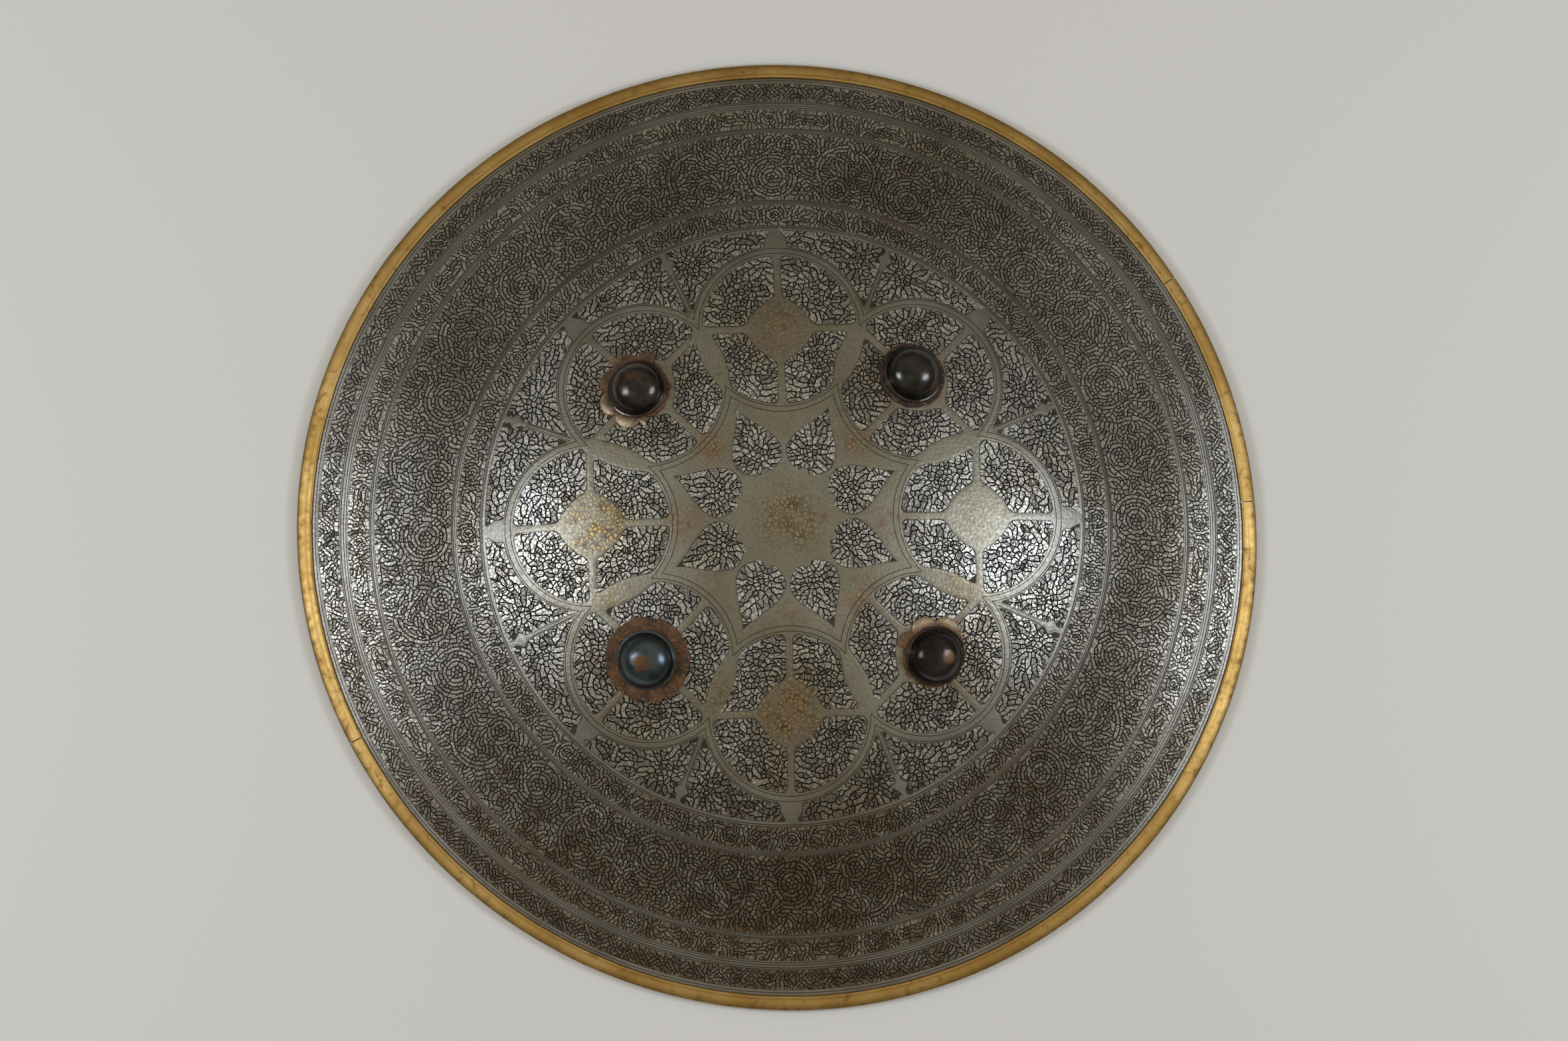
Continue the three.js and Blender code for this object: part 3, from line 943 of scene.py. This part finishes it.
def edge_of_ground(x, y):
    """How far each point is from the edge of its panel, and which way the edge lies."""
    here = cut_ground(x, y)
    east = (cut_ground(x + STEP, y) - here) / STEP
    north = (cut_ground(x, y + STEP) - here) / STEP
    size = np.maximum(np.hypot(east, north), 0.2)
    return -here / size, east / size, north / size


def panel_of(x, y):
    """A number shared only by panels that lie far apart, so that each can be shared out alone."""
    reach, around = np.hypot(x, y), np.arctan2(y, x) - TURN
    sector = np.round(around / (pi / 4)).astype(int)
    turned = around - sector * pi / 4
    lobe = 2 * (reach * np.cos(turned) > ROUNDEL_REACH) + (turned > 0) + 4 * (sector % 2)
    palmette = 8 + np.floor(around / (pi / 4)).astype(int) % 2
    spandrel = 10 + np.floor(around / (pi / 8)).astype(int) % 2
    nearest = np.stack([lobes(x, y), palmettes(x, y), spandrels(x, y)]).argmin(0)
    found = np.choose(nearest, [lobe, palmette, spandrel])
    for number, (low, high) in enumerate(BANDS):
        found = np.where((reach > low) & (reach < high), 12 + number, found)
    return found


def share_out(here):
    """Corners of the shares, and for each share in turn the corners round it."""
    inside, east, north = edge_of_ground(*here.T)
    mirrored = (here + 2 * (inside * np.stack([east, north])).T)[inside < 4.5]
    every = [Vector(p) for p in np.concatenate([here, mirrored])]
    spots, _, triangles, *_ = mathutils.geometry.delaunay_2d_cdt(every, [], [], 0, 1e-6)
    spots = np.array([p[:] for p in spots])
    three = np.array([t for t in triangles if len(t) == 3])
    p, q, r = (spots[three[:, i]] for i in range(3))
    qx, qy, rx, ry = *(q - p).T, *(r - p).T
    twice = 2 * (qx * ry - qy * rx)
    twice = np.where(np.abs(twice) < 1e-9, 1e-9, twice)
    qq, rr = qx**2 + qy**2, rx**2 + ry**2
    found = p + np.stack([ry * qq - qy * rr, qx * rr - rx * qq], 1) / twice[:, None]
    owner, number = three.T.ravel(), np.tile(np.arange(len(three)), 3)
    real = (owner < len(here)) & (np.linalg.norm(found[number] - spots[owner], axis=1) < 5)
    return found, owner[real], number[real]


panels = panel_of(*middles.T)
centre, owner, number = np.zeros((0, 2)), np.zeros(0, int), np.zeros(0, int)
for panel in np.unique(panels):
    own = np.flatnonzero(panels == panel)
    found, whose, which = share_out(middles[own])
    owner, number = np.append(owner, own[whose]), np.append(number, which + len(centre))
    centre = np.vstack([centre, found])
outside, east, north = edge_of_ground(*centre.T)
over = (outside < 0) & (outside > -2)  # a share must not reach past the edge of its panel
centre[over] += (outside * np.stack([east, north])).T[over]
order = np.lexsort((np.arctan2(*(centre[number] - middles[owner]).T[::-1]), owner))
owner, number = owner[order], number[order]
print(len(centre), "corners,", len(np.unique(owner)), "shares of the ground")

# %% Cut a groove round each leaf
RELIEF = GROUND_DEPTH + 0.03
tints = rng.uniform(0, 1, leaf_numbers[-1] + 1) ** 2


def leaves(chosen, groove_half):
    """One flat mesh of the leaves whose middles are chosen, the shares of each leaf joined."""
    keep = chosen[owner]
    whose, which = owner[keep], number[keep]
    pairs, vertex = np.unique(leaf_numbers[whose].astype(np.int64) * len(centre) + which, return_inverse=True)
    placed = np.column_stack([centre[pairs % len(centre)], np.full(len(pairs), -GROUND_DEPTH)])
    starts = np.flatnonzero(np.diff(whose, prepend=-1))
    faces = [face.tolist() for face in np.split(vertex.ravel(), starts[1:])]
    mesh = bpy.data.meshes.new("leaves")
    mesh.from_pydata(placed.tolist(), [], faces)
    store(mesh, "tint", tints[pairs // len(centre)])
    bm = bmesh.new()
    bm.from_mesh(mesh)
    bmesh.ops.delete(bm, geom=[f for f in bm.faces if f.calc_area() < 0.05], context="FACES")
    bmesh.ops.dissolve_degenerate(bm, dist=0.08, edges=bm.edges)
    bmesh.ops.inset_region(bm, faces=bm.faces[:], use_boundary=True, thickness=groove_half, depth=RELIEF)
    mesh = mesh_of(bm, "leaves", outwards=False)
    mesh.shade_flat()
    return mesh


def relief(name, mesh, finish=leaf_steel):
    """Raises a flat mesh with the disc, and makes it a piece."""
    flat = coordinates(mesh)
    marks = {"gilt": patches(flat[:, 0], flat[:, 1], GILT), "rust": patches(flat[:, 0], flat[:, 1], RUST)}
    marks["rubbed"] = flat[:, 2] > (flat[:, 2].min() + flat[:, 2].max()) / 2
    for label, values in marks.items():
        store(mesh, label, values)
    set_coordinates(mesh, raised(flat))
    top_down_map(mesh)
    piece(name, mesh, finish)


out = np.hypot(middles[:, 0], middles[:, 1])
relief("foliage_of_the_crown", leaves(out < SPANDREL_OUT + 0.5, 0.31))
wide = (out > BANDS[1][0]) & (out < BANDS[1][1])
relief("foliage_of_the_wide_band_north", leaves(wide & (middles[:, 1] > 0), 0.27))
relief("foliage_of_the_wide_band_south", leaves(wide & (middles[:, 1] <= 0), 0.27))
relief("foliage_of_the_narrow_bands", leaves(~wide & (out > SPANDREL_OUT + 0.5), 0.25))
relief("engraved_lines", strips(cuts, 0.36), cut_steel)

# %% [markdown]
# ## The brass binding
# A strip of brass was bent over the edge and dressed down on both sides, in three lengths. Its
# section is spun over each length's own angle, and the ends are closed. The mallet left it a little
# uneven, so the radius wanders by a tenth of a millimetre or so, and tarnish lies on the outside.

# %% The section of the binding
GAP, BRASS, TOP_LIP, UNDER_LIP = 0.3, 0.9, 4.9, 4.2
JOINTS = {"rim_binding_repair_piece": (4.2, 33.3), "rim_binding_upper": (33.3, 206.2),
          "rim_binding_lower": (206.2, 364.2)}
JOINT_HALF = degrees(0.225 / RIM_RADIUS)
EDGE_TILT = float(slope(STEEL_EDGE))
EDGE_HEIGHT = CROWN_TOP - float(drop(STEEL_EDGE))


def binding_section():
    """Points [reach, height] round the brass, with its flattened bead along the inner edge."""
    inside = -STEEL - GAP
    local = [(GAP, GAP), (GAP, inside), (-UNDER_LIP, inside), (-UNDER_LIP, inside - BRASS * 0.8),
             (-UNDER_LIP + 0.4, inside - BRASS)]
    depth, nose = STEEL / 2 + GAP + BRASS, GAP + BRASS
    for t in np.linspace(-pi / 2, pi / 2, 11):
        local.append((nose * cos(t), -STEEL / 2 + depth * sin(t)))
    crest = GAP + BRASS
    local += [(-1.6, crest + 0.06), (-2.9, crest - 0.05), (-3.5, crest - 0.16), (-3.9, crest - 0.02),
              (-4.4, crest - 0.02), (-4.75, crest - 0.22), (-TOP_LIP, GAP + 0.35), (-TOP_LIP, GAP)]
    c, s = cos(EDGE_TILT), sin(EDGE_TILT)
    return [(STEEL_EDGE + a * c + o * s, EDGE_HEIGHT - a * s + o * c) for a, o in local]


def wander(angle, seed, size):
    """Uneven by hand: a few slow waves and a few short ones round the rim."""
    found = np.zeros_like(angle)
    for waves in (5, 9, 14, 23, 37, 61):
        found += np.sin(waves * angle + seed * waves) / waves**0.5
    return found * size


# %% Spin the three lengths
for name, (start, stop) in JOINTS.items():
    first, last = radians(start + JOINT_HALF), radians(stop - JOINT_HALF)
    steps = max(24, round(degrees(last - first) / 0.8))
    bm = spun(binding_section(), steps, first, last - first, closed=True)
    bmesh.ops.holes_fill(bm, edges=[e for e in bm.edges if e.is_boundary], sides=0)
    mesh = mesh_of(bm, name)
    points = coordinates(mesh)
    angle, reach = np.arctan2(points[:, 1], points[:, 0]), np.hypot(points[:, 0], points[:, 1])
    inner = np.clip((STEEL_EDGE - reach) / TOP_LIP, 0, 1)
    tarnish = np.clip((reach - 182.6) / 2.2, 0, 1) * 0.75 + 0.25 * (points[:, 2] < 2)
    reach = reach * roundness(angle, reach) + wander(angle, 0.7, 0.05)
    reach -= inner * wander(angle, 2.1, 0.09)
    points[:, 0], points[:, 1] = reach * np.cos(angle), reach * np.sin(angle)
    points[:, 2] = np.maximum(points[:, 2] + wander(angle, 1.3, 0.03), 0)
    store(mesh, "tarnish", tarnish)
    set_coordinates(mesh, points * MM)
    piece(name + "_brass", mesh, brass, [name], sharp=40)


# %% [markdown]
# ## Bosses, washers and roves
# Each boss is a dome with a thin foot, its shank riveted over a rove behind the bowl. All four were
# turned alike, so one section is spun and then seated four times. The washers differ: two had eight
# petals, now partly broken away, and two are plain discs, eaten at the edge.

# %% Helpers for round pieces on the bowl
FOOT = GAP + 0.8 + GAP  # the underside of a boss, over its washer


def seated(mesh, angle, reach):
    """Puts points given in mm, with Z along the steel's normal, on a place on the bowl."""
    centre = on_bowl(angle, reach)
    turn = Matrix.Rotation(angle, 4, "Z") @ Matrix.Rotation(float(slope(reach)), 4, "Y")
    mesh.transform(Matrix.Translation(centre) @ turn @ Matrix.Scale(MM, 4))
    return mesh


BOSS_RADIUS, BOSS_HEIGHT, BOSS_LIP = 10.6, 9.2, 0.9
boss_section = [(0, -5.15), (2.2, -5.0), (3.4, -4.4), (3.8, -3.9), (3.7, -3.6), (2.5, -3.6), (2.5, FOOT),
                (BOSS_RADIUS + BOSS_LIP, FOOT), (BOSS_RADIUS + BOSS_LIP, FOOT + 0.25),
                (BOSS_RADIUS + BOSS_LIP - 0.2, FOOT + 0.42), (BOSS_RADIUS + 0.25, FOOT + 0.48)]
for t in np.linspace(0.03, pi / 2, 18):
    rise = (BOSS_HEIGHT - 0.45) * sin(t)
    boss_section.append((BOSS_RADIUS * cos(t) ** 0.94 if t < 1.57 else 0, FOOT + 0.45 + rise))
boss_looks = {  # dark and light tone, roughness, where rust breaks through, and how far it reaches
    "northwest": ("3B3533", "5E5652", 0.13, (-0.8, 3.0, 0.0), 3.4),
    "northeast": ("302F2C", "4F4D49", 0.14, (6.4, -7.0, -6.0), 4.0),
    "southwest": ("3B4448", "5D676B", 0.22, (-0.2, 0.2, 0.0), 4.2),
    "southeast": ("2F2A28", "50484A", 0.12, (3.2, 0.5, -0.6), 3.4),
}
for corner, (dark, light, soft, spot, spot_reach) in boss_looks.items():
    mesh = mesh_of(spun(boss_section, 56), "boss")
    points = coordinates(mesh)
    angle = np.arctan2(points[:, 1], points[:, 0])
    reach = np.hypot(points[:, 0], points[:, 1])
    dents = 1 + 0.004 * np.sin(3 * angle + len(corner)) + 0.003 * np.sin(5 * angle + points[:, 2])
    points[:, :2] *= np.where(reach > 4, dents, 1.0)[:, None]
    set_coordinates(mesh, points)
    spot_at = tuple(on_bowl(*SEATS[corner], FOOT + BOSS_HEIGHT) + np.array(spot) * MM)
    finish = boss_finish(f"burnished_boss_steel_{corner}", dark, light, soft, spot_at, spot_reach)
    mesh = seated(mesh, *SEATS[corner])
    piece(f"boss_{corner}_domed", mesh, finish, [f"boss_{corner}"], sharp=40)

# %% Washers
PETALS, PETAL_TIP, PETAL_NOTCH, BROKEN_EDGE = 8, 15.6, 12.6, 11.9
WASHERS = {  # where a petal points, which angles are lost and where it is bright, or a plain radius
    "northwest": {"petal": 251, "lost": (-75, 62), "bright": 236},
    "southeast": {"petal": 67.5, "lost": (165, 395), "bright": 82},
    "northeast": {"radius": 13.2},
    "southwest": {"radius": 16.6},
}
STEPS = 192


def washer_edge(corner, bearing):
    """Radius of the washer at an angle on the bowl, in mm, and how far it is a whole petal."""
    facts = WASHERS[corner]
    eaten = 0.22 * np.sin(radians(bearing) * 7 + 1) + 0.16 * np.sin(radians(bearing) * 17)
    if "radius" in facts:
        return facts["radius"] - 0.3 + 0.7 * eaten, 0.0
    low, high = facts["lost"]
    if (bearing - low) % 360 < high - low:
        return BROKEN_EDGE + 0.35 + 1.6 * eaten, 0.0
    bow = abs(cos(radians((bearing - facts["petal"]) * PETALS / 2))) ** 0.55
    return PETAL_NOTCH + (PETAL_TIP - PETAL_NOTCH) * bow, bow


for corner in CORNERS:
    seat_angle = degrees(SEATS[corner][0])
    bm = spun([(share, 0) for share in (0.2, 0.74, 0.86, 0.95, 1.0)], STEPS)
    bmesh.ops.recalc_face_normals(bm, faces=bm.faces)
    if sum(f.normal.z for f in bm.faces) < 0:
        bmesh.ops.reverse_faces(bm, faces=bm.faces)
    for vert in bm.verts:
        share = hypot(vert.co.x, vert.co.y)
        turn = atan2(vert.co.y, vert.co.x)
        radius, whole = washer_edge(corner, degrees(turn) + seat_angle)
        vert.co.x, vert.co.y = radius * share * cos(turn), radius * share * sin(turn)
        swell = 0.55 * whole * sin(pi * min(1, max(0, (share - 0.7) / 0.3)))
        sag = (radius * share) ** 2 / (2 * CROWN_RADIUS)
        vert.co.z = GAP + 0.75 + swell - sag - (0.3 if share > 0.99 else 0)
    bmesh.ops.solidify(bm, geom=bm.faces[:], thickness=0.7)
    mesh = mesh_of(bm, "washer")
    points = coordinates(mesh)
    reach = np.hypot(points[:, 0], points[:, 1])
    rubbed = np.clip((reach - 12.2) / 1.5, 0, 1) * ("petal" in WASHERS[corner])
    turned = np.degrees(np.arctan2(points[:, 1], points[:, 0])) + seat_angle
    from_bright = np.abs((turned - WASHERS[corner].get("bright", 0) + 180) % 360 - 180)
    rubbed *= np.clip((58 - from_bright) / 12, 0.12, 1)
    store(mesh, "bare", rubbed)
    finish = dark_iron if corner == "northeast" else iron
    mesh = seated(mesh, *SEATS[corner])
    piece(f"washer_{corner}_forged", mesh, finish, [f"washer_{corner}"], sharp=50)

# %% Roves behind the bowl, with their corners taken off
ROVE_RADIUS, ROVE_TOP, ROVE = 6.5, -STEEL - 0.7, 1.2
rove_section = [(2.8, ROVE_TOP - ROVE), (6.2, ROVE_TOP - ROVE), (ROVE_RADIUS, ROVE_TOP - ROVE + 0.3),
                (ROVE_RADIUS, ROVE_TOP - 0.2), (6.3, ROVE_TOP), (2.8, ROVE_TOP)]
for corner in CORNERS:
    mesh = seated(mesh_of(spun(rove_section, 40, closed=True), "rove"), *SEATS[corner])
    mesh.attributes.new("bare", "FLOAT", "POINT")
    piece(f"rove_{corner}_forged", mesh, iron, [f"rove_{corner}"], sharp=40)

# %% [markdown]
# ## The pins of the binding
# Small iron pins hold the brass to the steel. They were filed off flush, so only a dark dot with a
# slight dome shows on each side.

# %% Pins
PIN_REACH, PIN_RADIUS, PIN_HALF = 182.2, 0.66, 1.78
pin_section = [(0, -PIN_HALF - 0.7), (0.45, -PIN_HALF - 0.62), (PIN_RADIUS, -PIN_HALF - 0.45),
               (PIN_RADIUS, PIN_HALF - 0.95), (0.45, PIN_HALF - 0.78), (0, PIN_HALF - 0.7)]
for number in range(1, 11):
    angle, _ = middle_of(f"rim_pin_{number}")
    mesh = seated(mesh_of(spun(pin_section, 14), "pin"), angle, PIN_REACH)
    mesh.attributes.new("bare", "FLOAT", "POINT")
    piece(f"rim_pin_{number}_filed", mesh, dark_iron, [f"rim_pin_{number}"], sharp=40)
